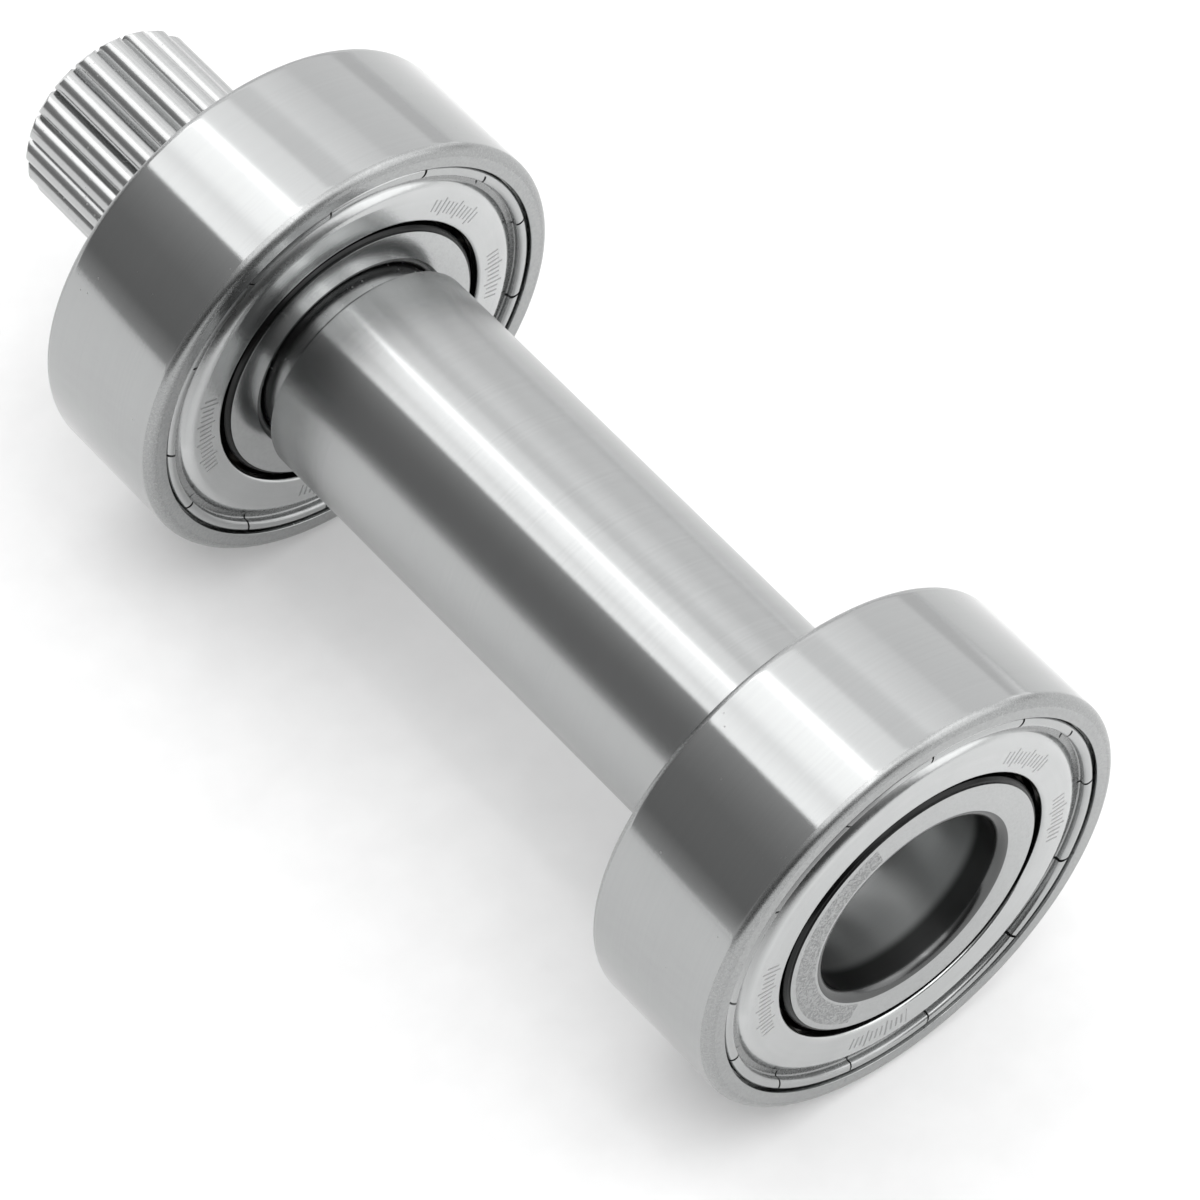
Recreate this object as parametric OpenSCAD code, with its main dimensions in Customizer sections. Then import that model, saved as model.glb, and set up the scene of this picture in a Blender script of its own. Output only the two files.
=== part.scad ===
// Bottom bracket: a steel spindle that carries a shielded deep-groove ball bearing
// near each end, a plain spacer sleeve between the two, and a splined end that
// takes the drive. The spindle's axis is +Y and +Z is up. The origin is on the axis,
// halfway through the width of the bearing at the plain end.

/* [Bearings] */
// Outside diameter of each bearing
bearing_od = 40; // [40:1:50]
// Bore of each bearing, which is also the diameter of the spindle in it
bearing_bore = 17; // [14:0.5:18]
// Width of each bearing
bearing_w = 13.7; // [12:0.1:18]
// Clear distance between the two bearings
bearing_gap = 54.6; // [30:0.1:120]
// Rounding on the outside corners of each outer ring
outer_corner_r = 0.9; // [0.3:0.1:1.2]
// Rounding on the bore corners of each inner ring
bore_corner_r = 0.8; // [0.2:0.1:1]

/* [Balls and races] */
// Diameter of a ball
ball_d = 6.75; // [5.4:0.05:7.2]
// Balls in each bearing
ball_count = 8; // [7:1:9]
// Running clearance between a ball and the race grooves
race_clearance = 0.1; // [0.05:0.01:0.15]
// Depth of the race grooves in both rings
race_depth = 1.5; // [0.8:0.1:1.7]

/* [Cages] */
// Thickness of the pressed sheet of a cage
cage_sheet = 0.5; // [0.3:0.05:0.7]
// Radial width of the cage band
cage_band_w = 2.6; // [1.8:0.1:3]
// Clearance between a ball and its pocket
pocket_clearance = 0.12; // [0.08:0.01:0.2]
// Diameter of a rivet's shank
rivet_d = 1; // [0.8:0.1:1.4]
// Diameter of a rivet's head
rivet_head_d = 1.9; // [1.5:0.1:2.2]
// Height of a rivet's head
rivet_head_h = 0.35; // [0.2:0.05:0.6]

/* [Shields] */
// Thickness of the pressed sheet of a shield
shield_sheet = 0.4; // [0.3:0.05:0.5]
// How far the flat of a shield lies under the faces of the rings
shield_recess = 0.05; // [0.02:0.01:0.3]
// Gap between a shield's inner edge and the inner ring
shield_gap = 0.5; // [0.3:0.1:1.2]
// Height of the turned-in lip at a shield's inner edge
shield_lip_h = 0.9; // [0.6:0.1:1.4]
// Radial thickness of the outer ring outside the shield's rim
rim_wall = 1.85; // [1.5:0.05:2.5]
// Radius of the rolled bead round a shield's rim
bead_r = 0.58; // [0.5:0.01:0.65]
// Depth of the channel inside the bead
channel_depth = 0.7; // [0.3:0.05:0.7]
// Width of the channel floor
channel_w = 0.6; // [0.3:0.05:0.8]
// Width of the slope between the channel and the flat
slope_w = 0.6; // [0.4:0.05:1.2]
// Crimp splits round each bead
split_count = 13; // [9:1:17]
// Width of a crimp split
split_w = 0.22; // [0.1:0.02:0.3]

/* [Spindle] */
// How far into the plain-end bearing's bore the spindle starts
plain_end_inset = 9.5; // [4:0.1:11]
// Length of the spindle outside the splined-end bearing
splined_end_reach = 18.7; // [10:0.1:40]
// Length of plain shaft between that bearing and the spline
spline_start = 1; // [0.5:0.1:4]
// Teeth of the spline
spline_teeth = 20; // [16:1:24]
// Radial amount by which the spline clears the bearing's bore
spline_clearance = 0.13; // [0.05:0.01:0.5]
// Depth of the grooves between the teeth
spline_depth = 0.92; // [0.5:0.02:1]
// Chamfer on the ends of the spindle
spindle_chamfer = 0.5; // [0.2:0.1:1]
// Tapping diameter of the threaded hole in the splined end
tapped_d = 6.8; // [5:0.1:8.5]
// Depth of the threaded hole
tapped_depth = 22; // [12:1:40]
// Mouth diameter of the cone that opens the threaded hole
tapped_mouth_d = 8.4; // [6:0.1:10]
// Mouth diameter of the centre cone in the plain end
centre_d = 5; // [3:0.1:8]

/* [Spacer sleeve] */
// Wall thickness of the sleeve
sleeve_wall = 1.35; // [0.8:0.05:2.5]
// Gap between the sleeve and the splined-end bearing
sleeve_gap = 2.3; // [0.5:0.1:5]
// Chamfer on the sleeve's outside edges
sleeve_chamfer = 0.4; // [0.2:0.05:0.7]

/* [Hidden] */
$fn = 96;
cut = 0.5;                                       // how far a cutter runs past what it cuts
axis_r = bearing_bore / 2;                       // spindle journal and inner-ring bore
outer_r = bearing_od / 2;
rim_r = outer_r - rim_wall;                      // lip of the outer ring round the shield
bead_play = 0.06;                                // gap between the bead and that lip
bead_drop = 0.1;                                 // how far the bead lies under the flat
bead_foot = 0.06;                                // flattening where the bead sits down
bead_top_r = rim_r - bead_play - bead_r;         // circle through the top of the bead
bead_y = shield_recess + bead_drop + bead_r;     // depth of the bead's centre
seat_y = bead_y + bead_r - bead_foot;            // depth of the step the shield sits on
lip_undercut = 0.3;                              // groove under the lip, for the flange
flange_sheet = 0.3;                              // thickness of the flange under the lip
flange_play = 0.05;                              // its clearance in that groove
flange_r = rim_r + lip_undercut - flange_play;
bead_share = 0.9;                                // of the bead, that stands out of the channel
channel_out_r = bead_top_r - bead_share * bead_r; // outer edge of the channel floor
channel_in_r = channel_out_r - channel_w;
flat_out_r = channel_in_r - slope_w;             // outer edge of the shield's flat
pitch_r = (axis_r + outer_r) / 2;                // circle through the ball centres
race_r = ball_d / 2 + race_clearance;
inner_land_r = pitch_r - race_r + race_depth;    // outside of the inner ring
outer_land_r = pitch_r + race_r - race_depth;    // inside of the outer ring
land_chamfer = 0.4;                              // on the outside edges of the inner ring
flat_in_r = inner_land_r + shield_gap;           // inner edge of the shield
pocket_r = ball_d / 2 + pocket_clearance;
dome_r = pocket_r + cage_sheet;
ball_step = 360 / ball_count;
first_ball = ball_step / 2;
second_bearing_y = bearing_w + bearing_gap;
spindle_end_y = second_bearing_y + bearing_w + splined_end_reach;
spline_y = second_bearing_y + bearing_w + spline_start;
spline_r = axis_r - spline_clearance;
spline_root_r = spline_r - spline_depth;
tooth_share = 0.87;                              // of half a tooth's step, taken by its round top
tooth_top_r = tooth_share * PI * spline_r / spline_teeth;
spline_overlap = 1;                              // the spline starts this far inside the plain shaft
first_tooth = 83.6;                              // turn of the spline, from +X towards +Z
plain_end_split = 2;                             // turn of the splits, from +X towards +Z
splined_end_split = 10;

// Lays a shape that was drawn round +Z along +Y. Its depths are counted from the
// outboard face of the plain-end bearing.
module on_axis(y = 0) {
    translate([0, y - bearing_w / 2, 0])
        rotate([-90, 0, 0])
            children();
}

// Places a piece in the plain-end bearing, whose outboard face looks along -Y.
module in_plain_end() {
    on_axis() children();
}

// Places a piece in the splined-end bearing, whose outboard face looks along +Y.
module in_splined_end() {
    on_axis(second_bearing_y + bearing_w) mirror([0, 0, 1]) children();
}

// A flat ring between two radii and two depths, for a rotate_extrude.
module step_2d(r_in, r_out, z_low, z_high) {
    translate([r_in, z_low])
        square([r_out - r_in, z_high - z_low]);
}

// The corner of a square edge that a rounding of radius r takes away. The corner
// is at the origin and the material lies towards -X and +Y.
module corner_waste_2d(r) {
    difference() {
        translate([-r, -cut]) square([r + cut, r + cut]);
        translate([-r, r]) circle(r);
    }
}

// Cutters for one face and, mirrored, for the other face of a bearing.
module at_both_faces_2d() {
    children();
    translate([0, bearing_w]) mirror([0, 1]) children();
}

module outer_ring() {
    rotate_extrude()
        difference() {
            step_2d(outer_land_r, outer_r, 0, bearing_w);
            translate([pitch_r, bearing_w / 2]) circle(race_r);
            at_both_faces_2d() {
                translate([outer_r, 0]) corner_waste_2d(outer_corner_r);
                step_2d(outer_land_r - cut, rim_r, -cut, seat_y);
                step_2d(rim_r - cut, rim_r + lip_undercut,
                        seat_y - flange_sheet - flange_play, seat_y);
            }
        }
}

module inner_ring() {
    rotate_extrude()
        difference() {
            step_2d(axis_r, inner_land_r, 0, bearing_w);
            translate([pitch_r, bearing_w / 2]) circle(race_r);
            at_both_faces_2d() {
                translate([axis_r, 0]) mirror([1, 0]) corner_waste_2d(bore_corner_r);
                translate([inner_land_r, 0])
                    rotate(45)
                        square(land_chamfer * sqrt(2), center = true);
            }
        }
}

// Half-section of a shield, seen with its outboard side at the bottom: turned-in
// lip, flat, slope, channel floor, rolled bead and the flange under the ring's lip.
module shield_2d() {
    flat_y = shield_recess;
    floor_y = shield_recess + channel_depth;
    lip_corner_r = shield_sheet;
    difference() {
        union() {
            step_2d(flat_in_r + lip_corner_r, flat_out_r, flat_y, flat_y + shield_sheet);
            step_2d(flat_in_r, flat_in_r + shield_sheet, flat_y + lip_corner_r, shield_lip_h);
            intersection() {
                translate([flat_in_r + lip_corner_r, flat_y + lip_corner_r]) circle(lip_corner_r);
                step_2d(flat_in_r, flat_in_r + lip_corner_r, flat_y, flat_y + lip_corner_r);
            }
            polygon([
                [flat_out_r, flat_y],
                [channel_in_r, floor_y],
                [bead_top_r - bead_r / 2, floor_y],
                [bead_top_r - bead_r / 2, floor_y + shield_sheet],
                [channel_in_r, floor_y + shield_sheet],
                [flat_out_r, flat_y + shield_sheet]
            ]);
            translate([bead_top_r, bead_y]) circle(bead_r);
            step_2d(bead_top_r, flange_r, seat_y - flange_sheet, seat_y);
        }
        translate([bead_top_r, bead_y]) circle(bead_r - shield_sheet);
        step_2d(channel_in_r, flange_r + cut, seat_y, seat_y + cut);
    }
}

// A shield at the face of a bearing. The splits run across the bead and the channel,
// as deep as the middle of the bead.
module shield(turn) {
    difference() {
        rotate_extrude() shield_2d();
        for (i = [0:split_count - 1])
            rotate(turn + i * 360 / split_count)
                translate([channel_in_r, -split_w / 2, -cut])
                    cube([flange_r - channel_in_r, split_w, bead_y + cut]);
    }
}

// Angle of ball i, counted from 1, round the bearing's axis.
function ball_angle(i) = first_ball + (i - 1) * ball_step;

module at_each_ball() {
    for (i = [1:ball_count])
        rotate(ball_angle(i)) translate([pitch_r, 0, bearing_w / 2]) children();
}

module between_balls() {
    for (i = [1:ball_count])
        rotate(ball_angle(i) + ball_step / 2) translate([pitch_r, 0, bearing_w / 2]) children();
}

// The half of a cage on the outboard side: a flat band with a dome over each ball.
module cage_half() {
    difference() {
        intersection() {
            rotate_extrude()
                step_2d(pitch_r - cage_band_w / 2, pitch_r + cage_band_w / 2, 0, bearing_w / 2);
            union() {
                translate([0, 0, bearing_w / 2 - cage_sheet]) cylinder(r = outer_r, h = cage_sheet);
                at_each_ball() sphere(dome_r);
            }
        }
        at_each_ball() sphere(pocket_r);
        between_balls() cylinder(d = rivet_d, h = 3 * cage_sheet, center = true);
    }
}

module cage_rivets() {
    between_balls() {
        cylinder(d = rivet_d, h = 2 * cage_sheet, center = true);
        for (side = [0, 1])
            mirror([0, 0, side])
                translate([0, 0, cage_sheet]) cylinder(d = rivet_head_d, h = rivet_head_h);
    }
}

module ball(i) {
    rotate(ball_angle(i)) translate([pitch_r, 0, bearing_w / 2]) sphere(d = ball_d);
}

// Cross-section of the spline: a core with a round-topped tooth at each step.
module spline_2d() {
    circle(spline_root_r);
    for (i = [0:spline_teeth - 1])
        rotate(-first_tooth + i * 360 / spline_teeth)
            translate([spline_r - tooth_top_r, 0]) circle(tooth_top_r);
}

// A round bar on the axis between two depths, chamfered at either end if asked.
module bar(r, y_start, y_end, chamfer_start = 0, chamfer_end = 0) {
    rotate_extrude()
        polygon([
            [0, y_start],
            [r - chamfer_start, y_start],
            [r, y_start + chamfer_start],
            [r, y_end - chamfer_end],
            [r - chamfer_end, y_end],
            [0, y_end]
        ]);
}

module spindle() {
    color("silver") on_axis()
        difference() {
            union() {
                bar(axis_r, plain_end_inset, spline_y, spindle_chamfer, spindle_chamfer);
                intersection() {
                    translate([0, 0, spline_y - spline_overlap])
                        linear_extrude(spindle_end_y - spline_y + spline_overlap) spline_2d();
                    bar(spline_r, plain_end_inset, spindle_end_y, 0, spindle_chamfer);
                }
            }
            translate([0, 0, spindle_end_y - tapped_depth])
                cylinder(d = tapped_d, h = tapped_depth + cut);
            translate([0, 0, spindle_end_y - tapped_depth - tapped_d / 4])
                cylinder(d1 = 0, d2 = tapped_d, h = tapped_d / 4);
            translate([0, 0, spindle_end_y - (tapped_mouth_d - tapped_d) / 2])
                cylinder(d1 = tapped_d, d2 = tapped_mouth_d + 2 * cut,
                         h = (tapped_mouth_d - tapped_d) / 2 + cut);
            translate([0, 0, plain_end_inset - cut])
                cylinder(d1 = centre_d + 2 * cut, d2 = 0, h = centre_d / 2 + cut);
        }
}

module spacer_sleeve() {
    color("gainsboro") on_axis()
        difference() {
            bar(axis_r + sleeve_wall, bearing_w, second_bearing_y - sleeve_gap,
                sleeve_chamfer, sleeve_chamfer);
            bar(axis_r, bearing_w - cut, second_bearing_y);
        }
}

// One piece of a bearing, drawn at the bearing face that looks along -Z.
module bearing_piece(piece, split_turn) {
    if (piece == "outer_ring") color("silver") outer_ring();
    if (piece == "inner_ring") color("silver") inner_ring();
    if (piece == "outboard_shield") color("gainsboro") shield(split_turn);
    if (piece == "inboard_shield")
        color("gainsboro") translate([0, 0, bearing_w]) mirror([0, 0, 1]) shield(split_turn);
    if (piece == "cage_outboard_half") color("tan") cage_half();
    if (piece == "cage_inboard_half")
        color("tan") translate([0, 0, bearing_w]) mirror([0, 0, 1]) cage_half();
    if (piece == "cage_rivets") color("dimgray") cage_rivets();
    for (i = [1:ball_count])
        if (piece == str("ball_", i)) color("whitesmoke") ball(i);
}

module plain_end(piece) {
    in_plain_end() bearing_piece(piece, -plain_end_split);
}

module splined_end(piece) {
    in_splined_end() bearing_piece(piece, -splined_end_split);
}

spindle();
spacer_sleeve();
plain_end("outer_ring");  // plain_end_outer_ring
plain_end("inner_ring");  // plain_end_inner_ring
plain_end("outboard_shield");  // plain_end_outboard_shield
plain_end("inboard_shield");  // plain_end_inboard_shield
plain_end("cage_outboard_half");  // plain_end_cage_outboard_half
plain_end("cage_inboard_half");  // plain_end_cage_inboard_half
plain_end("cage_rivets");  // plain_end_cage_rivets
splined_end("outer_ring");  // splined_end_outer_ring
splined_end("inner_ring");  // splined_end_inner_ring
splined_end("outboard_shield");  // splined_end_outboard_shield
splined_end("inboard_shield");  // splined_end_inboard_shield
splined_end("cage_outboard_half");  // splined_end_cage_outboard_half
splined_end("cage_inboard_half");  // splined_end_cage_inboard_half
splined_end("cage_rivets");  // splined_end_cage_rivets
for (i = [1:ball_count]) {
    plain_end(str("ball_", i));
    splined_end(str("ball_", i));
}
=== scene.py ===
import math

import bmesh
import bpy
from mathutils import Matrix, Vector


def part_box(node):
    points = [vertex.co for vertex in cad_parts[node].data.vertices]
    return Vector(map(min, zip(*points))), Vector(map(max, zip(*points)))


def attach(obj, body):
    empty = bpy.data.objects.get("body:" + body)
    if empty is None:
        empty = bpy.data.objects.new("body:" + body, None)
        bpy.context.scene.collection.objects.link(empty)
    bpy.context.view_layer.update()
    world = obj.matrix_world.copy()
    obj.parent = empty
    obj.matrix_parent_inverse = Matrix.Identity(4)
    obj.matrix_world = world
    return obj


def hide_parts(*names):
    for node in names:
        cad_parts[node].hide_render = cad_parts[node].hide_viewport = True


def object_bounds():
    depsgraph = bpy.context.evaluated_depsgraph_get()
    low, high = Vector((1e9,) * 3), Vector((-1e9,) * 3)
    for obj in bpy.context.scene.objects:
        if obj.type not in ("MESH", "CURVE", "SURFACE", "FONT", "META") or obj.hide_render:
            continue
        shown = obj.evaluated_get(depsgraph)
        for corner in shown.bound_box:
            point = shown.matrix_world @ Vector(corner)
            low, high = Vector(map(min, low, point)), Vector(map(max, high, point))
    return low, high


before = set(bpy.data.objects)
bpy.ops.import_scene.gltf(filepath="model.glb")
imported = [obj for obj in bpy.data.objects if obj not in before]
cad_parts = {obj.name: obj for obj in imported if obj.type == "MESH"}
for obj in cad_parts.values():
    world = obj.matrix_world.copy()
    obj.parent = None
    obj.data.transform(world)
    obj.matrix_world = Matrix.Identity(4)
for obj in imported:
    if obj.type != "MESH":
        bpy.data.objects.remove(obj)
cad_low, cad_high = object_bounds()
scene = bpy.context.scene
MM = 0.001


# ---------------------------------------------------------------- Camera
# A long lens looks down on the open bore of the plain-end bearing, with the spindle
# running away to the upper left. It aims at a point given by how far it lies to the
# left of and above the middle of that bearing's outboard face.
LENS_WIDTHS = 6.0708            # focal length in sensor widths
CAMERA_AZIMUTH = math.radians(-38.9)
CAMERA_ELEVATION = math.radians(52.8)
FACE_RIGHT_OF_AIM = 23.307 * MM
FACE_BELOW_AIM = 22.872 * MM
FACE_DISTANCE = 541.835 * MM

near_low, near_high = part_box("plain_end_outer_ring")
near_face = Vector((0, near_low.y, 0))
heading = Vector((-math.sin(CAMERA_AZIMUTH), math.cos(CAMERA_AZIMUTH), 0))
right = Vector((math.cos(CAMERA_AZIMUTH), math.sin(CAMERA_AZIMUTH), 0))
up = heading * math.sin(CAMERA_ELEVATION) + Vector((0, 0, math.cos(CAMERA_ELEVATION)))
forward = heading * math.cos(CAMERA_ELEVATION) - Vector((0, 0, math.sin(CAMERA_ELEVATION)))

camera_data = bpy.data.cameras.new("camera")
camera_data.sensor_width = 36
camera_data.lens = 36 * LENS_WIDTHS
camera_data.clip_start = 0.02
camera_data.clip_end = 20
camera = bpy.data.objects.new("camera", camera_data)
camera.matrix_world = Matrix((right, up, -forward)).transposed().to_4x4()
camera.location = near_face - FACE_RIGHT_OF_AIM * right + FACE_BELOW_AIM * up - FACE_DISTANCE * forward
scene.collection.objects.link(camera)
scene.camera = camera


# ---------------------------------------------------------------- Table and studio light
# A table of white acrylic, lit a little from beneath, that the bearings' rims stand on, one
# long softbox overhead, a square fill light, and a light tent of paper panels: pale on the
# right, dark on the left and open at the front.
TABLE_HALF = 3.0
TABLE_GREYS = (0.69, 0.72)              # darkest and palest of its faint speckle
TABLE_GLOW = 0.2                        # light from beneath
SOFTBOX_DISTANCE = 1.2
SOFTBOX_TURN = math.radians(104.5)      # from +X towards +Z
SOFTBOX_ALONG = 0.3                     # past the object's middle, towards the splined end
SOFTBOX_WIDTH = 0.66
SOFTBOX_LENGTH = 3.4
SOFTBOX_POWER = 12
FILL_WAY = (0.62, -0.62, 0.48)          # towards the square fill light
FILL_DISTANCE = 1.4
FILL_SIDE = 1.1
FILL_POWER = 2.6

# The tent's panels, from the right (0) over the top (0.5) to the left (1): place, brightness
TENT_PANELS = [
    (0.0, 1.0), (0.048, 0.98), (0.056, 1.24), (0.2, 1.2), (0.215, 1.34), (0.31, 1.56),
    (0.33, 1.34), (0.385, 1.3), (0.396, 1.68), (0.46, 1.78), (0.478, 1.95),
    (0.485, 3.2), (0.5, 3.2),           # lit slot next to the softbox
    (0.505, 0.7), (0.57, 0.5), (0.6, 0.1), (0.64, 0.35), (0.67, 0.5), (0.74, 0.36),
    (0.8, 0.28), (0.93, 0.24), (1.0, 0.5)]
# What is left of them from the open front (0) to the closed back (1)
TENT_OPENING = [
    (0.0, 0.16), (0.2, 0.18), (0.4, 0.5), (0.54, 1.0), (0.6, 1.5), (0.68, 1.5), (0.735, 1.0)]
TENT_TOP_CLOSES = 0.9                   # how much looking up counts as looking to the back
FRONT_PANEL_BRIGHTNESS = 0.9            # paper panel at the right of the open front


class Nodes:
    """Short names for adding and joining the nodes of one tree."""

    def __init__(self, tree):
        self.tree = tree

    def add(self, kind, **settings):
        node = self.tree.nodes.new(kind)
        for name, value in settings.items():
            setattr(node, name, value)
        return node

    def put(self, node, socket, value):
        """Sets a socket to a number or joins another node's output to it."""
        if isinstance(value, bpy.types.NodeSocket):
            self.tree.links.new(value, node.inputs[socket])
        else:
            node.inputs[socket].default_value = value

    def math(self, operation, a, b=0.0, c=0.0):
        node = self.add("ShaderNodeMath", operation=operation)
        for i, value in enumerate((a, b, c)):
            self.put(node, i, value)
        return node.outputs[0]

    def ramp(self, fac, stops, smooth=False):
        """A ramp of greys through (place, brightness) stops."""
        node = self.add("ShaderNodeValToRGB")
        node.color_ramp.interpolation = "EASE" if smooth else "LINEAR"
        points = node.color_ramp.elements
        while len(points) < len(stops):
            points.new(0.5)
        for point, (place, brightness) in zip(points, stops):
            point.position = place
            point.color = (brightness, brightness, brightness, 1)
        self.put(node, "Fac", fac)
        return node.outputs["Color"]

    def noise(self, vector, scale, detail=3.0, roughness=0.5):
        node = self.add("ShaderNodeTexNoise")
        self.put(node, "Vector", vector)
        self.put(node, "Scale", scale)
        self.put(node, "Detail", detail)
        self.put(node, "Roughness", roughness)
        return node.outputs["Fac"]


def new_material(name):
    material = bpy.data.materials.new(name)
    material.use_nodes = True
    nodes = Nodes(material.node_tree)
    shader = material.node_tree.nodes["Principled BSDF"]
    return material, nodes, shader


def table_acrylic():
    material, n, shader = new_material("table_acrylic")
    point = n.add("ShaderNodeTexCoord").outputs["Object"]
    speckle = n.noise(point, 260, 4)
    n.put(shader, "Base Color", n.ramp(speckle, [(0.3, TABLE_GREYS[0]), (0.7, TABLE_GREYS[1])]))
    n.put(shader, "Emission Color", (1.0, 1.0, 1.0, 1.0))
    n.put(shader, "Emission Strength", TABLE_GLOW)
    n.put(shader, "Roughness", 0.7)
    n.put(shader, "Specular IOR Level", 0.2)
    return material


table_mesh = bpy.data.meshes.new("table")
table_z = cad_low.z
table_corners = [(x * TABLE_HALF, y * TABLE_HALF, table_z) for x, y in ((-1, -1), (1, -1), (1, 1), (-1, 1))]
table_mesh.from_pydata(table_corners, [], [(0, 1, 2, 3)])
table = bpy.data.objects.new("table", table_mesh)
table_mesh.materials.append(table_acrylic())
scene.collection.objects.link(table)

middle = (cad_low + cad_high) / 2
softbox_data = bpy.data.lights.new("softbox", "AREA")
softbox_data.shape = "RECTANGLE"
softbox_data.size = SOFTBOX_WIDTH
softbox_data.size_y = SOFTBOX_LENGTH
softbox_data.energy = SOFTBOX_POWER
softbox = bpy.data.objects.new("softbox", softbox_data)
softbox_way = Vector((math.cos(SOFTBOX_TURN), 0, math.sin(SOFTBOX_TURN)))
along = Vector((0, 1, 0))
softbox.matrix_world = Matrix((along.cross(softbox_way), along, softbox_way)).transposed().to_4x4()
softbox.location = middle + SOFTBOX_DISTANCE * softbox_way + SOFTBOX_ALONG * along
scene.collection.objects.link(softbox)

fill_data = bpy.data.lights.new("fill", "AREA")
fill_data.size = FILL_SIDE
fill_data.energy = FILL_POWER
fill = bpy.data.objects.new("fill", fill_data)
fill_way = Vector(FILL_WAY).normalized()
fill.rotation_euler = fill_way.to_track_quat("Z", "Y").to_euler()
fill.location = middle + FILL_DISTANCE * fill_way
scene.collection.objects.link(fill)

world = bpy.data.worlds.new("pale_room")
world.use_nodes = True
scene.world = world
room = Nodes(world.node_tree)
direction = room.add("ShaderNodeSeparateXYZ")
room.put(direction, 0, room.add("ShaderNodeTexCoord").outputs["Generated"])
turn = room.math("ARCTAN2", direction.outputs["Z"], direction.outputs["X"])
panels = room.ramp(room.math("DIVIDE", turn, math.pi), TENT_PANELS)
# The open front is dark low down and closed higher up, with a lit panel on its right
closed = room.math("MULTIPLY_ADD", direction.outputs["Z"], TENT_TOP_CLOSES, direction.outputs["Y"])
opening = room.ramp(room.math("MULTIPLY_ADD", closed, 0.5, 0.5), TENT_OPENING)
frontward = room.math("MULTIPLY", direction.outputs["Y"], -1.0)
from_front = room.ramp(frontward, [(0.05, 0.0), (0.35, 1.0)], smooth=True)
from_right = room.ramp(direction.outputs["X"], [(0.3, 0.0), (0.55, 1.0)], smooth=True)
lit_panel = room.math("MULTIPLY", room.math("MULTIPLY", from_right, from_front), FRONT_PANEL_BRIGHTNESS)
background = world.node_tree.nodes["Background"]
room.put(background, "Color", panels)
room.put(background, "Strength", room.math("MAXIMUM", opening, lit_panel))
scene.view_settings.view_transform = "Standard"


# ---------------------------------------------------------------- Bearing rings
# Outer and inner rings turned from bearing steel, hardened and ground all over: fine
# grinding lines run round the outside and in circles on the faces, every edge is
# rounded, and the balls run in polished grooves.
RING_ROUND_STEPS = 8            # straight steps in a quarter turn of rounding
TURNED_SEGMENTS = 288           # steps round a turned piece
GROOVE_STEPS = 20               # steps across a ball groove

# Sizes shared by both bearings, in millimetres from the axis and in from a face
OUTER_R = 20.0
BORE_R = 8.5
WIDTH = (near_high.y - near_low.y) / MM
OUTER_ROUND = 0.9
BORE_ROUND = 0.8
EDGE_ROUND = 0.06
RIM_R = 18.15                   # lip of the outer ring round the shield
SEAT_DEPTH = 1.25               # step the shield sits on
LIP_THICKNESS = 0.35
GROOVE_R = 18.45                # groove under the lip
OUTER_LAND_R = 16.225
INNER_LAND_R = 12.275
PITCH_R = 14.25
RACE_R = 3.475                  # radius of the ball grooves' section
_, far_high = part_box("splined_end_outer_ring")
BEARINGS = {                    # outboard face, way inward, body of the outer ring
    "plain_end": (near_low.y, 1, "plain_end_shell_side"),
    "splined_end": (far_high.y, -1, "splined_end_shell_side"),
}

# Finishes of the rings, with painted shade at the mouth of the bore and beside the shield
COOL = (0.985, 1.0, 1.0)        # tint of ground steel
SKIN = 0.03                     # how far from a wall its finish still counts
RACE_FINISH_AND_PAINTED_SHADE = (                  # two radii, share of the tone, added roughness
    (8.0, BORE_R + SKIN, 1.25, 0.12),       # bore
    (BORE_R + SKIN, 9.3, 0.24, 0.06),       # rounded mouth of the bore, darkened as painted shade
    (11.87, 13.0, 0.06, 0.1))               # step down to the land, nearly black as painted shade in the gap beside the shield
FROSTED_ARCS = {"plain_end": (9.5, 11.4, 174, 64), "splined_end": None}
FACE_REACH = 3.0                # how deep a mark on a face can still show
FROST_DARKER = 0.38
FROST_ROUGHER = 0.18
FROST_DEPTH = 1.2               # against the height of the grinding lines
PIT_REACH = 0.13
PIT_ROUGHER = 0.25
PIT_DEPTH = 2.5
RAMP_MM = 10.0                  # depth that a ramp spans
BUMP_DISTANCE = 0.0002


def rounded_outline(corners):
    """Closed outline from (radius, depth, rounding) corners, each rounded by an arc."""
    points = []
    for i, (r, y, rounding) in enumerate(corners):
        here = Vector((r, y))
        before = Vector(corners[i - 1][:2]) - here
        after = Vector(corners[(i + 1) % len(corners)][:2]) - here
        if rounding <= 0:
            points.append(here)
            continue
        half = before.angle(after) / 2
        reach = min(rounding / math.tan(half), 0.5 * before.length, 0.5 * after.length)
        radius = reach * math.tan(half)
        inward = (before.normalized() + after.normalized()).normalized()
        centre = here + inward * (radius / math.sin(half))
        start = here + before.normalized() * reach - centre
        end = here + after.normalized() * reach - centre
        sweep = start.angle_signed(end)
        steps = max(2, round(RING_ROUND_STEPS * abs(sweep) / (math.pi / 2)))
        for k in range(steps + 1):
            turned = start.copy()
            turned.rotate(Matrix.Rotation(-sweep * k / steps, 2))
            points.append(centre + turned)
    return points


def grid_of_rows(name, rows, closed_outline=True):
    """A mesh from rows of points that go round the axis; row j joins row j + 1."""
    mesh = bpy.data.meshes.new(name)
    count = len(rows[0])
    points = [p for row in rows for p in row]
    faces = []
    last = len(rows) if closed_outline else len(rows) - 1
    for j in range(last):
        a, b = j * count, ((j + 1) % len(rows)) * count
        for i in range(count):
            k = (i + 1) % count
            faces.append((a + i, a + k, b + k, b + i))
    if not closed_outline:
        faces.append(tuple(range(count))[::-1])
        faces.append(tuple((len(rows) - 1) * count + i for i in range(count)))
    mesh.from_pydata(points, [], faces)
    mesh.validate()
    return mesh


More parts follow.
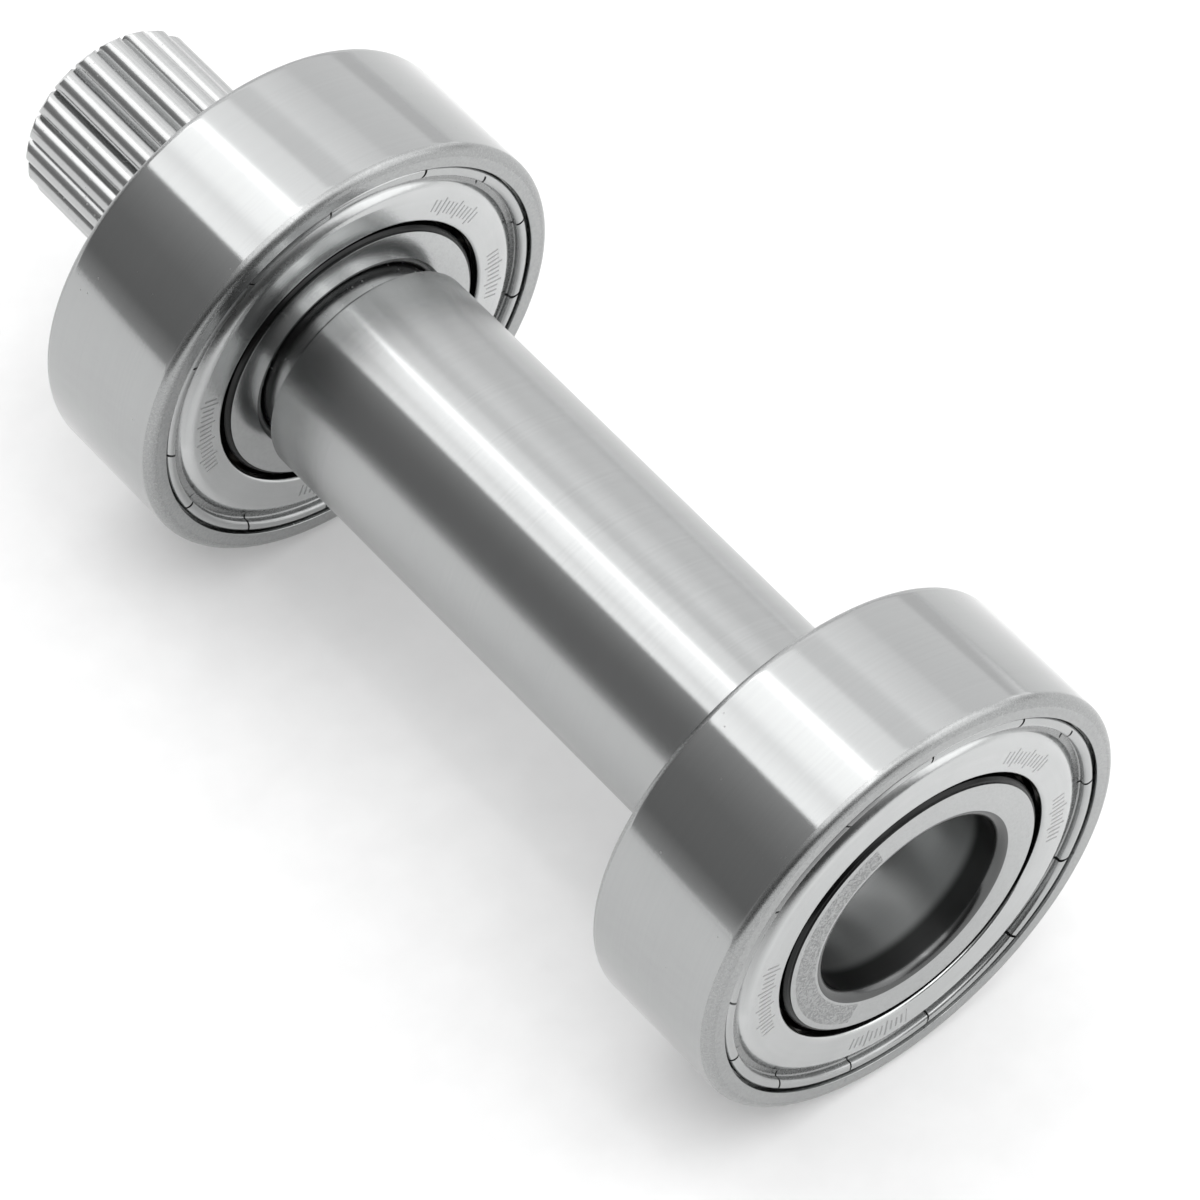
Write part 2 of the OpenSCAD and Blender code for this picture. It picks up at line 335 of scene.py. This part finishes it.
def finish_mesh(mesh, sharp_from=32):
    """Merges doubled points, turns the faces outwards and shades all but true edges smooth."""
    shape = bmesh.new()
    shape.from_mesh(mesh)
    bmesh.ops.remove_doubles(shape, verts=shape.verts, dist=2e-7)
    bmesh.ops.recalc_face_normals(shape, faces=shape.faces)
    shape.to_mesh(mesh)
    shape.free()
    mesh.shade_smooth()
    mesh.set_sharp_from_angle(angle=math.radians(sharp_from))
    return mesh


def turned(name, outline, face_y, inward):
    """Turns an outline round the axis. Depths in it count inward from the face at face_y."""
    turns = [2 * math.pi * i / TURNED_SEGMENTS for i in range(TURNED_SEGMENTS)]
    rows = []
    for r, depth in outline:
        y = face_y + inward * depth * MM
        rows.append([(r * MM * math.cos(turn), y, r * MM * math.sin(turn)) for turn in turns])
    return finish_mesh(grid_of_rows(name, rows))


def fit_piece(name, mesh, body, node, material):
    """Makes the piece that stands for a CAD node, riding on that node's body."""
    piece = bpy.data.objects.new(name, mesh)
    mesh.materials.append(material)
    scene.collection.objects.link(piece)
    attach(piece, body)
    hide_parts(node)
    return piece


def round_the_axis(n):
    """Radius, turn in radians and depth of the shaded point, all about the spindle's axis."""
    split = n.add("ShaderNodeSeparateXYZ")
    n.put(split, 0, n.add("ShaderNodeTexCoord").outputs["Object"])
    x, y, z = (split.outputs[k] for k in "XYZ")
    radius = n.math("SQRT", n.math("ADD", n.math("MULTIPLY", x, x), n.math("MULTIPLY", z, z)))
    return radius, n.math("ARCTAN2", z, x), y


def lathe_lines(n, radius, turn, y, along=0.35, per_metre=5200.0):
    """Noise drawn out into lines that run round the axis, on faces and on the outside alike."""
    where = n.add("ShaderNodeCombineXYZ")
    sideways = n.math("MULTIPLY", n.math("COSINE", turn), along)
    n.put(where, "X", n.math("MULTIPLY", n.math("SINE", turn), along))
    n.put(where, "Y", n.math("MULTIPLY", y, per_metre))
    n.put(where, "Z", n.math("MULTIPLY_ADD", radius, per_metre, sideways))
    return n.noise(where.outputs[0], 1.0, 4, 0.6)


def multiplied(n, colour, share):
    """A colour times a number."""
    node = n.add("ShaderNodeMix", data_type="RGBA", blend_type="MULTIPLY")
    n.put(node, 0, 1.0)
    n.put(node, 6, colour)
    n.put(node, 7, share)
    return node.outputs[2]


def within_turn(n, turn, centre, half):
    """1 where the turn round the axis is within half degrees of centre, else 0."""
    off = n.math("COSINE", n.math("SUBTRACT", turn, math.radians(centre)))
    return n.math("GREATER_THAN", off, math.cos(math.radians(half)))


def between(n, value, low, high):
    """1 where a value lies between low and high, else 0."""
    return n.math("MULTIPLY", n.math("GREATER_THAN", value, low), n.math("LESS_THAN", value, high))


def from_face(n, y, face_y):
    """Depth from a bearing's face."""
    return n.math("ABSOLUTE", n.math("SUBTRACT", y, face_y))


def steel(name, tone, tint=(1.0, 1.0, 1.0), rough=(0.1, 0.2), line_depth=0.02, blotch=0.05,
          specks=0.0, anisotropic=0.0, face_y=None, frosted=None, grainy=None, zones=(),
          painted_mouth_shade=None):
    """Bare steel with turning or grinding lines and faint staining. If asked, it also has
    specks: the share of it where there are fine pits,
    frosted: an arc on the face at face_y, given by two radii, its centre and its half turn,
    grainy: a fine grain between two radii, and how strong it is,
    zones: rings finished in another way or darkened as painted shade, by two radii, share of the tone,
    added roughness,
    painted_mouth_shade: painted shade in a bore without lines, darkest from the face to the first depth and
    gone by the second, and how dark it is."""
    material, n, shader = new_material(name)
    radius, turn, y = round_the_axis(n)
    point = n.add("ShaderNodeTexCoord").outputs["Object"]
    lines = lathe_lines(n, radius, turn, y)
    stain = n.noise(point, 170, 5, 0.6)
    fine = n.noise(point, 1900, 3, 0.6)

    # Tone from the stains and lines, gloss from the stains and a finer noise
    swing = n.math("SUBTRACT", n.math("ADD", stain, lines), 1.0)
    low = tuple(tone * (1 - 2.5 * blotch) * t for t in tint)
    high = tuple(min(1.0, tone * (1 + 2.5 * blotch)) * t for t in tint)
    mixed = n.add("ShaderNodeMix", data_type="RGBA")
    n.put(mixed, 0, n.math("MULTIPLY_ADD", swing, 6.0 * blotch, 0.5))
    n.put(mixed, 6, (*low, 1))
    n.put(mixed, 7, (*high, 1))
    colour = mixed.outputs[2]
    uneven = n.math("MULTIPLY", n.math("ADD", stain, fine), 0.5)
    gloss = n.math("MULTIPLY_ADD", uneven, rough[1] - rough[0], rough[0])
    height = lines

    # painted shade in the bore, darkest at its mouth and fading out deeper in
    if painted_mouth_shade:
        near, far, loss = painted_mouth_shade
        in_bore = n.math("LESS_THAN", radius, (BORE_R + SKIN) * MM)
        depth = n.math("DIVIDE", from_face(n, y, face_y), RAMP_MM * MM)
        dark = n.ramp(depth, [(near / RAMP_MM, loss), (far / RAMP_MM, 0.0)], smooth=True)
        colour = multiplied(n, colour, n.math("SUBTRACT", 1.0, n.math("MULTIPLY", dark, in_bore)))
        height = n.math("MULTIPLY", height, n.math("SUBTRACT", 1.0, in_bore))
    for low_r, high_r, share, rougher in zones:
        zone = between(n, radius, low_r * MM, high_r * MM)
        colour = multiplied(n, colour, n.math("MULTIPLY_ADD", zone, share - 1.0, 1.0))
        gloss = n.math("MULTIPLY_ADD", zone, rougher, gloss)
    if grainy:
        low_r, high_r, share = grainy
        grain = n.math("SUBTRACT", n.noise(point, 5200, 2, 0.7), 0.5)
        grain = n.math("MULTIPLY", grain, between(n, radius, low_r * MM, high_r * MM))
        colour = multiplied(n, colour, n.math("MULTIPLY_ADD", grain, share, 1.0))
        gloss = n.math("MULTIPLY_ADD", n.math("ABSOLUTE", grain), 0.25, gloss)
    if frosted:
        low_r, high_r, centre, half = frosted
        ring = between(n, radius, low_r * MM, high_r * MM)
        on_face = n.math("LESS_THAN", from_face(n, y, face_y), FACE_REACH * MM)
        arc = n.math("MULTIPLY", n.math("MULTIPLY", ring, on_face), within_turn(n, turn, centre, half))
        crumb = n.ramp(n.noise(point, 6800, 1, 0.5), [(0.44, 0.0), (0.56, 1.0)])
        frost = n.math("MULTIPLY", arc, n.math("MULTIPLY_ADD", crumb, 0.7, 0.3))
        colour = multiplied(n, colour, n.math("MULTIPLY_ADD", frost, -FROST_DARKER, 1.0))
        gloss = n.math("MULTIPLY_ADD", frost, FROST_ROUGHER, gloss)
        height = n.math("MULTIPLY_ADD", frost, -FROST_DEPTH, height)
    if specks > 0:
        cells = n.add("ShaderNodeTexVoronoi", feature="F1")
        n.put(cells, "Vector", point)
        n.put(cells, "Scale", 1500.0)
        dot = n.math("LESS_THAN", cells.outputs["Distance"], PIT_REACH)
        patch = n.math("GREATER_THAN", n.noise(point, 260, 2), 1.0 - specks)
        pit = n.math("MULTIPLY", dot, patch)
        gloss = n.math("MULTIPLY_ADD", pit, PIT_ROUGHER, gloss)
        height = n.math("MULTIPLY_ADD", pit, -PIT_DEPTH, height)

    n.put(shader, "Metallic", 1.0)
    n.put(shader, "Base Color", colour)
    n.put(shader, "Roughness", gloss)
    bump = n.add("ShaderNodeBump")
    n.put(bump, "Strength", line_depth)
    n.put(bump, "Distance", BUMP_DISTANCE)
    n.put(bump, "Height", height)
    n.put(shader, "Normal", bump.outputs[0])
    if anisotropic:
        round_axis = n.add("ShaderNodeTangent", direction_type="RADIAL", axis="Y")
        n.put(shader, "Anisotropic", anisotropic)
        n.put(shader, "Anisotropic Rotation", 0.25)     # stretched along the axis, across the lines
        n.put(shader, "Tangent", round_axis.outputs[0])
    return material


ring_steel = steel(
    "ground_ring_steel", 0.4, tint=COOL, rough=(0.07, 0.13), specks=0.35, anisotropic=0.75,
    grainy=(18.0, OUTER_R - SKIN, 0.5),
    zones=((18.0, 19.12, 0.95, 0.08), (19.12, OUTER_R - SKIN, 0.86, 0.16)))
race_steel = {}
for end, (face_y, _, _) in BEARINGS.items():
    race_steel[end] = steel(
        f"{end}_inner_ring_steel", 0.46, tint=COOL, rough=(0.13, 0.2), anisotropic=0.75,
        face_y=face_y, frosted=FROSTED_ARCS[end], grainy=(9.3, 11.93, 0.3),
        # painted shade in the bore's mouth: darkest within 2.3 mm of the face, gone by 3.3 mm
        zones=RACE_FINISH_AND_PAINTED_SHADE, painted_mouth_shade=(2.3, 3.3, 0.85))


def race_groove(land_r, way):
    """Points across a ball groove, from the outboard to the inboard side. way is 1 in the
    outer ring, whose groove bulges away from the axis, and -1 in the inner ring."""
    half = math.acos(abs(land_r - PITCH_R) / RACE_R)
    turns = [half * (2 * k / GROOVE_STEPS - 1) for k in range(GROOVE_STEPS + 1)]
    return [(PITCH_R + way * RACE_R * math.cos(t), WIDTH / 2 + RACE_R * math.sin(t)) for t in turns]


def outer_ring_outline():
    """Land, step for the shield, groove, lip, face and outside, then the same mirrored."""
    lip_depth = SEAT_DEPTH - LIP_THICKNESS
    one_side = rounded_outline([
        (OUTER_LAND_R, WIDTH / 2, 0),
        (OUTER_LAND_R, SEAT_DEPTH, 0.1), (GROOVE_R, SEAT_DEPTH, 0.05),
        (GROOVE_R, lip_depth, 0.05), (RIM_R, lip_depth, 0.05), (RIM_R, 0, EDGE_ROUND),
        (OUTER_R, 0, OUTER_ROUND), (OUTER_R, WIDTH / 2, 0)])[1:-1]
    other_side = [(r, WIDTH - y) for r, y in one_side[::-1]]
    return [tuple(p) for p in one_side] + other_side + race_groove(OUTER_LAND_R, 1)[::-1]


def inner_ring_outline():
    """Land, bevel and small step up to the face, bore, then the same mirrored."""
    one_side = rounded_outline([
        (INNER_LAND_R, WIDTH / 2, 0),
        (INNER_LAND_R, 0.4, 0.08), (INNER_LAND_R - 0.2, 0.15, 0.05), (INNER_LAND_R - 0.37, 0.13, 0.03),
        (INNER_LAND_R - 0.39, 0, 0.05),
        (BORE_R, 0, BORE_ROUND), (BORE_R, WIDTH / 2, 0)])[1:-1]
    other_side = [(r, WIDTH - y) for r, y in one_side[::-1]]
    return [tuple(p) for p in one_side] + other_side + race_groove(INNER_LAND_R, -1)[::-1]


for end, (face_y, inward, ring_body) in BEARINGS.items():
    name = f"{end}_ground_outer_ring"
    fit_piece(name, turned(name, outer_ring_outline(), face_y, inward), ring_body,
              f"{end}_outer_ring", ring_steel)
    name = f"{end}_ground_inner_ring"
    fit_piece(name, turned(name, inner_ring_outline(), face_y, inward), "spindle_group",
              f"{end}_inner_ring", race_steel[end])


# ---------------------------------------------------------------- Shields
# One pressed steel shield in each face of each bearing: a bright flat washer that dips
# into a channel and rises in a rolled bead, crimped under the ring's lip. The bead is
# nicked right through where the crimping tool split it.
LIP_R = 12.775                  # inner edge
SHEET = 0.4
FLAT_DEPTH = 0.05
LIP_DEPTH = 0.9
BEAD_R = 17.51                  # circle through the top of the bead
BEAD_ROUND = 0.5
BEAD_DEPTH = 0.58               # depth of the bead's middle
BEAD_SQUARENESS = 0.9           # 1 is a round bead, less is flatter on top and steeper at the sides
BEAD_FROM, BEAD_TO = 150, -12   # its section in degrees, where 90 is the top
BEAD_STEPS = 18
CHANNEL_DEPTH = 0.75
CHANNEL_OUT_R = BEAD_R - 0.9 * BEAD_ROUND
CHANNEL_IN_R = CHANNEL_OUT_R - 0.6
FLAT_OUT_R = CHANNEL_IN_R - 0.6
SHOULDER_R = 15.3               # where the flat starts to bend down
SHOULDER_STEPS = 12
FLANGE_R = 18.4
SPLITS = 13
SPLIT_HALF_TURN = 0.12 / BEAD_R
CUT_DEPTH = SEAT_DEPTH - LIP_THICKNESS          # how far down a split goes
CUT_FROM_R = CHANNEL_IN_R + 0.25
SHORT_CUT_R = BEAD_R + 0.15     # where the shorter splits end
LEAN_FROM_R = CHANNEL_IN_R - 0.3                # a split leans from here outwards
FIRST_SPLIT = {"plain_end": math.radians(2), "splined_end": math.radians(10)}

# Finish of the sheet, with painted shade in the channel, along the lip and on one side of the bead
ETCHED_SCALES = ((42, 12), (178, 17), (258, 12), (356, 11))     # centre and half turn, in degrees
STROKES_ROUND = 176             # strokes that would fill the whole turn
SHORT_STROKE = (13.75, 14.9)    # radii
LONG_STROKE = (13.45, 15.2)
STROKE_DARKER = 0.2
SHADE_FROM_R = 15.6               # the painted shade is drawn over this radius and the span after it
SHADE_SPAN = 2.6
SHADE_DRIFT = 0.25                # how unevenly its edge runs
CHANNEL_SHADE = [                 # share of the span, how dark: painted shade in the channel and along the ring's lip, a slightly darker bead between
    (0.26, 0.0), (0.34, 0.5), (0.54, 0.45), (0.62, 0.18), (0.9, 0.18), (0.96, 0.6)]
SIDE_SHADE_ROUND = [                  # share of half a turn, how dark: painted shade over the quarter from the top to the -X side
    (0.52, 0.0), (0.58, 0.6), (0.76, 0.58), (0.84, 0.36), (0.98, 0.12), (1.0, 0.0)]
SIDE_SHADE_OUT = [(0.0, 0.0), (0.2, 1.0), (0.9, 1.0), (0.96, 0.0)]    # share of the span, how much


def bead_section():
    """Points over the bead, from the channel out to the flange."""
    points = []
    for k in range(BEAD_STEPS + 1):
        t = math.radians(BEAD_FROM + (BEAD_TO - BEAD_FROM) * k / BEAD_STEPS)
        out = math.copysign(abs(math.cos(t)) ** BEAD_SQUARENESS, math.cos(t))
        rise = math.copysign(abs(math.sin(t)) ** BEAD_SQUARENESS, math.sin(t))
        points.append((BEAD_R + BEAD_ROUND * out, BEAD_DEPTH - BEAD_ROUND * rise))
    return points


def shield_outline():
    """The shield's section, outboard side first, from the lip outwards and back."""
    outboard = rounded_outline([
        (LIP_R, LIP_DEPTH, 0), (LIP_R, FLAT_DEPTH, 0.3), (SHOULDER_R - 0.3, FLAT_DEPTH, 0)])
    for k in range(SHOULDER_STEPS + 1):             # the shoulder bends down more and more
        share = k / SHOULDER_STEPS
        outboard.append((SHOULDER_R + (CHANNEL_IN_R - SHOULDER_R) * share,
                         FLAT_DEPTH + (CHANNEL_DEPTH - FLAT_DEPTH) * share ** 2))
    outboard += [(CHANNEL_IN_R + 0.08, CHANNEL_DEPTH + 0.03), (CHANNEL_OUT_R - 0.1, CHANNEL_DEPTH + 0.03),
                 (CHANNEL_OUT_R, CHANNEL_DEPTH - 0.05)]
    back = [
        (BEAD_R + 0.5, SEAT_DEPTH - 0.3), (FLANGE_R, SEAT_DEPTH - 0.3), (FLANGE_R, SEAT_DEPTH - 0.01),
        (CHANNEL_OUT_R + 0.2, SEAT_DEPTH - 0.01), (CHANNEL_OUT_R + 0.1, CHANNEL_DEPTH + SHEET),
        (CHANNEL_IN_R - 0.1, CHANNEL_DEPTH + SHEET), (FLAT_OUT_R, FLAT_DEPTH + SHEET),
        (LIP_R + SHEET, FLAT_DEPTH + SHEET), (LIP_R + SHEET, LIP_DEPTH)]
    return [tuple(p) for p in outboard] + bead_section() + back


def in_split(r, depth, reach_r):
    """Where a point of the section drops to in a split, which is cut from the channel out to
    reach_r and right through the bead."""
    if CUT_FROM_R < r < reach_r and depth < CUT_DEPTH:
        return r, CUT_DEPTH
    return r, depth


def split_at(s, first_split):
    """Turn, lean and half turn of split s. Each is a little out of true."""
    this = s % SPLITS
    centre = first_split + 2 * math.pi * (s + 0.06 * math.sin(2.4 * this)) / SPLITS
    lean = 0.035 * math.sin(1.7 * this + 0.5)
    half = SPLIT_HALF_TURN * (0.6 + 0.5 * math.sin(3.7 * this + 1) ** 2)
    return centre, lean, half


def shield_mesh(name, face_y, inward, first_split):
    """The shield turned round the axis, with its section dropped within each split. A split
    leans a little, more or less from one to the next, as torn sheet does."""
    outline = shield_outline()
    steps = TURNED_SEGMENTS // SPLITS
    stations = []                                   # (turn, lean, how far out it is split)
    for s in range(SPLITS):
        centre, lean, half = split_at(s, first_split)
        next_centre, next_lean, next_half = split_at(s + 1, first_split)
        reach_r = SHORT_CUT_R if s % 4 == 1 else RIM_R
        stations.append((centre - half, lean, reach_r))
        stations.append((centre + half, lean, reach_r))
        start, stop = centre + half, next_centre - next_half
        for k in range(steps + 1):
            share = k / steps
            stations.append((start + (stop - start) * share, lean + (next_lean - lean) * share, 0))
    rows = []
    for r, depth in outline:
        row = []
        for turn, lean, reach_r in stations:
            here_r, here_depth = in_split(r, depth, reach_r)
            angle = turn + lean * (max(r, LEAN_FROM_R) - BEAD_R)
            row.append((here_r * MM * math.cos(angle), face_y + inward * here_depth * MM,
                        here_r * MM * math.sin(angle)))
        rows.append(row)
    return finish_mesh(grid_of_rows(name, rows), sharp_from=38)


def etched_scales(n, radius, turn):
    """1 on a stroke of the scales, else 0. Every fourth stroke is longer."""
    scales = 0.0
    for centre, half in ETCHED_SCALES:
        scales = n.math("ADD", scales, within_turn(n, turn, centre, half))
    stroke = n.math("GREATER_THAN", n.math("COSINE", n.math("MULTIPLY", turn, STROKES_ROUND)), 0.4)
    fourth = n.math("GREATER_THAN", n.math("COSINE", n.math("MULTIPLY", turn, STROKES_ROUND / 4)), 0.9)
    short = between(n, radius, SHORT_STROKE[0] * MM, SHORT_STROKE[1] * MM)
    long = n.math("MULTIPLY", fourth, between(n, radius, LONG_STROKE[0] * MM, LONG_STROKE[1] * MM))
    return n.math("MULTIPLY", n.math("MULTIPLY", stroke, n.math("MAXIMUM", short, long)), scales)


def painted_channel_shade(n, radius, turn, stain):
    """How dark the painted shade on the sheet is: in the channel and along the ring's lip, and over one
    quarter of the turn from the shoulder out over the bead."""
    edge = n.math("MULTIPLY_ADD", n.math("SUBTRACT", stain, 0.5), SHADE_DRIFT * MM, radius)
    span = n.math("DIVIDE", n.math("SUBTRACT", edge, SHADE_FROM_R * MM), SHADE_SPAN * MM)
    side_shade_round = n.ramp(n.math("DIVIDE", turn, math.pi), SIDE_SHADE_ROUND)
    side_shade = n.math("MULTIPLY", side_shade_round, n.ramp(span, SIDE_SHADE_OUT))
    side_shade = n.math("MULTIPLY", side_shade, n.math("MULTIPLY_ADD", stain, 0.5, 0.75))
    return n.math("MAXIMUM", n.ramp(span, CHANNEL_SHADE), side_shade)


def shield_sheet():
    """Bright pressed sheet with a rolled grain and etched scales, darkened by painted shade in the channel,
    along the lip and over one quarter of the bead.
    """
    material, n, shader = new_material("pressed_shield_sheet")
    radius, turn, y = round_the_axis(n)
    point = n.add("ShaderNodeTexCoord").outputs["Object"]
    lines = lathe_lines(n, radius, turn, y, per_metre=2600.0)
    stain = n.noise(point, 240, 5, 0.6)
    grain = n.noise(point, 2600, 3, 0.6)
    tick = etched_scales(n, radius, turn)
    channel_shade = painted_channel_shade(n, radius, turn, stain)

    shade = n.math("MULTIPLY_ADD", stain, 0.1, 0.47)
    shade = n.math("MULTIPLY_ADD", lines, 0.06, shade)
    shade = n.math("MULTIPLY_ADD", tick, -STROKE_DARKER, shade)
    # painted shade: the sheet is darker in the channel, along the lip and over one quarter of the bead
    shade = n.math("MULTIPLY", shade, n.math("SUBTRACT", 1.0, channel_shade))
    tone = n.add("ShaderNodeCombineColor")
    for channel, share in zip(("Red", "Green", "Blue"), COOL):
        n.put(tone, channel, n.math("MULTIPLY", shade, share))
    n.put(shader, "Base Color", tone.outputs[0])
    n.put(shader, "Metallic", 1.0)
    gloss = n.math("MULTIPLY_ADD", grain, 0.12, 0.14)
    gloss = n.math("MULTIPLY_ADD", tick, 0.2, gloss)
    n.put(shader, "Roughness", n.math("MULTIPLY_ADD", channel_shade, 0.15, gloss))
    height = n.math("MULTIPLY", n.math("ADD", lines, grain), 0.5)
    bump = n.add("ShaderNodeBump")
    n.put(bump, "Strength", 0.05)
    n.put(bump, "Distance", BUMP_DISTANCE)
    n.put(bump, "Height", n.math("MULTIPLY_ADD", tick, -0.8, height))
    n.put(shader, "Normal", bump.outputs[0])
    return material


bright_sheet = shield_sheet()
for end, (face_y, inward, ring_body) in BEARINGS.items():
    far_side_y = face_y + inward * WIDTH * MM
    for side, y, way in (("outboard", face_y, inward), ("inboard", far_side_y, -inward)):
        name = f"{end}_{side}_crimped_shield"
        fit_piece(name, shield_mesh(name, y, way, FIRST_SPLIT[end]), ring_body,
                  f"{end}_{side}_shield", bright_sheet)


# ---------------------------------------------------------------- Balls, cages and rivets
# Polished balls held apart by a ribbon cage: two halves pressed from thin steel strip,
# riveted together between the balls. They show only through the gap inside the shields,
# so the CAD solids stay and get their finish here.
ball_steel = steel("polished_ball_steel", 0.62, rough=(0.04, 0.08), line_depth=0.0, blotch=0.02)
cage_strip = steel(
    "pressed_cage_strip", 0.4, tint=(1.0, 0.95, 0.87), rough=(0.25, 0.4), line_depth=0.03, blotch=0.08)
rivet_steel = steel(
    "rivet_steel", 0.36, tint=(1.0, 0.98, 0.95), rough=(0.28, 0.42), line_depth=0.02, blotch=0.08)
for name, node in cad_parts.items():
    finish = None
    if "_ball_" in name:
        finish = ball_steel
    elif name.endswith("_rivets"):
        finish = rivet_steel
    elif "_cage_" in name:
        finish = cage_strip
    if finish:
        node.data.materials.clear()
        node.data.materials.append(finish)


# ---------------------------------------------------------------- Spacer sleeve
# A drawn steel tube pushed on over the spindle. It is cut square, its ends are dressed
# with a small rounding, and its skin keeps faint drawing and handling marks.
SLEEVE_R = 9.85
SLEEVE_END_ROUND = 0.25
SLEEVE_BORE_ROUND = 0.15
sleeve_low, sleeve_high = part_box("spacer_sleeve")
sleeve_length = (sleeve_high.y - sleeve_low.y) / MM
sleeve_outline = rounded_outline([
    (BORE_R, 0, SLEEVE_BORE_ROUND), (SLEEVE_R, 0, SLEEVE_END_ROUND),
    (SLEEVE_R, sleeve_length, SLEEVE_END_ROUND), (BORE_R, sleeve_length, SLEEVE_BORE_ROUND)])
drawn_tube = steel(
    "drawn_tube_steel", 0.4, tint=COOL, rough=(0.17, 0.25), line_depth=0.03, blotch=0.06, anisotropic=1.0)
fit_piece("drawn_spacer_sleeve", turned("drawn_spacer_sleeve", sleeve_outline, sleeve_low.y, 1),
          "spindle_group", "spacer_sleeve", drawn_tube)


# ---------------------------------------------------------------- Spindle
# Turned and ground from one bar: plain journals under the bearings, a centre cone in the
# plain end, and at the other end twenty round-topped teeth rolled into the bar and a
# tapped hole for the bolt that holds the crank on.
TEETH = 20
TOOTH_TURN = math.radians(83.6)         # top of one tooth
SPLINE_R = 8.37
SPLINE_ROOT_R = 7.45
TOOTH_ROUND = 0.87 * math.pi * SPLINE_R / TEETH     # just under half the spacing
PER_TOOTH = 22                  # points round each tooth
SPLINE_CLEAR = 1.0              # plain shaft between bearing and spline
END_CHAMFER = 0.5
SOFT = 0.03                     # how much an edge is broken
SOFT_REACH = 0.05
RUN_OUT = 0.45                  # length over which the grooves run out into the shaft
RUN_OUT_STEPS = 5
SPLINE_STEPS = 9
CHAMFER_STEPS = 6
AXIS_R = 0.02                   # smallest radius, where a cone comes to its point
CENTRE_R = 2.5
HOLE_R = 3.4
HOLE_DEPTH = 22.0
HOLE_MOUTH_R = 4.2
HOLE_MOUTH_DEPTH = 0.8
THREAD_PITCH = 1.25
THREAD_HEIGHT = 0.6
THREAD_FADE_IN = 1.0            # depths over which the thread starts and ends
THREAD_FADE_OUT = 2.5
ROWS_PER_PITCH = 10

spindle_low, spindle_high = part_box("spindle")
SPINDLE_LENGTH = (spindle_high.y - spindle_low.y) / MM
SPLINE_AT = (far_high.y - spindle_low.y) / MM + SPLINE_CLEAR


def tooth_radius(turn):
    """Radius of the spline's section at a turn round the axis."""
    step = 2 * math.pi / TEETH
    off = (turn - TOOTH_TURN + step / 2) % step - step / 2
    centre = SPLINE_R - TOOTH_ROUND
    inside = TOOTH_ROUND ** 2 - (centre * math.sin(off)) ** 2
    top = centre * math.cos(off) + math.sqrt(inside) if inside > 0 else 0
    return max(top, SPLINE_ROOT_R)


def thread_radius(turn, y):
    """Radius of the tapped hole's wall: a helical groove with rounded crests."""
    wave = abs(((y / THREAD_PITCH - turn / (2 * math.pi)) % 1.0) * 2 - 1)
    return HOLE_R + THREAD_HEIGHT * min(1.0, max(0.0, (wave - 0.12) / 0.8))


def spindle_mesh():
    segments = TEETH * PER_TOOTH
    turns = [2 * math.pi * i / segments for i in range(segments)]
    rows = []

    def row(y, radius):
        """One row of points; radius is a number or a function of the turn."""
        radii = [radius(t) if callable(radius) else radius for t in turns]
        at_y = spindle_low.y + y * MM
        rows.append([(r * MM * math.cos(t), at_y, r * MM * math.sin(t)) for r, t in zip(radii, turns)])

    # Plain end: centre cone, face, chamfer and journal
    row(CENTRE_R, AXIS_R)
    row(0.1, CENTRE_R - 0.1)
    row(0.0, CENTRE_R + SOFT_REACH)
    row(0.0, BORE_R - END_CHAMFER - SOFT_REACH)
    row(SOFT, BORE_R - END_CHAMFER + SOFT)
    row(END_CHAMFER - SOFT, BORE_R - SOFT)
    row(END_CHAMFER + SOFT_REACH, BORE_R)
    row(SPLINE_AT - END_CHAMFER - SOFT_REACH, BORE_R)
    row(SPLINE_AT - END_CHAMFER + SOFT, BORE_R - SOFT)

    # Run-out of the grooves into the shaft, the full section, and the chamfer at its end
    shaft_r = BORE_R - SOFT_REACH
    for k in range(RUN_OUT_STEPS + 1):
        share = k / RUN_OUT_STEPS
        floor_r = shaft_r - share * (shaft_r - SPLINE_ROOT_R)
        row(SPLINE_AT - RUN_OUT * (1 - share), lambda t, f=floor_r: max(tooth_radius(t), f))
    for k in range(1, SPLINE_STEPS):
        row(SPLINE_AT + (SPINDLE_LENGTH - END_CHAMFER - SPLINE_AT) * k / SPLINE_STEPS, tooth_radius)
    for k in range(CHAMFER_STEPS + 1):
        share = k / CHAMFER_STEPS
        cone_r = SPLINE_R - END_CHAMFER * share
        row(SPINDLE_LENGTH - END_CHAMFER * (1 - share), lambda t, c=cone_r: min(tooth_radius(t), c))

    # Face of the splined end, mouth of the hole, thread and drilled point
    row(SPINDLE_LENGTH, SPLINE_ROOT_R - 0.5)
    row(SPINDLE_LENGTH, HOLE_MOUTH_R + 0.06)
    row(SPINDLE_LENGTH - SOFT_REACH, HOLE_MOUTH_R)
    tapped = HOLE_DEPTH - HOLE_MOUTH_DEPTH
    steps = round(tapped / THREAD_PITCH * ROWS_PER_PITCH)
    for k in range(steps + 1):
        down = HOLE_MOUTH_DEPTH + tapped * k / steps
        fade_out = (HOLE_DEPTH - down) / THREAD_FADE_OUT
        fade = min(1.0, fade_out, (down - HOLE_MOUTH_DEPTH) / THREAD_FADE_IN)
        row(SPINDLE_LENGTH - down, lambda t, d=down, f=fade: HOLE_R + f * (thread_radius(t, d) - HOLE_R))
    row(SPINDLE_LENGTH - HOLE_DEPTH - HOLE_R / 2, AXIS_R)
    return finish_mesh(grid_of_rows("ground_spindle", rows, closed_outline=False), sharp_from=30)


ground_bar = steel(
    "ground_spindle_steel", 0.48, tint=(0.99, 1.0, 1.0), rough=(0.16, 0.28), line_depth=0.03,
    blotch=0.07, specks=0.5)
fit_piece("ground_spindle", spindle_mesh(), "spindle_group", "spindle", ground_bar)
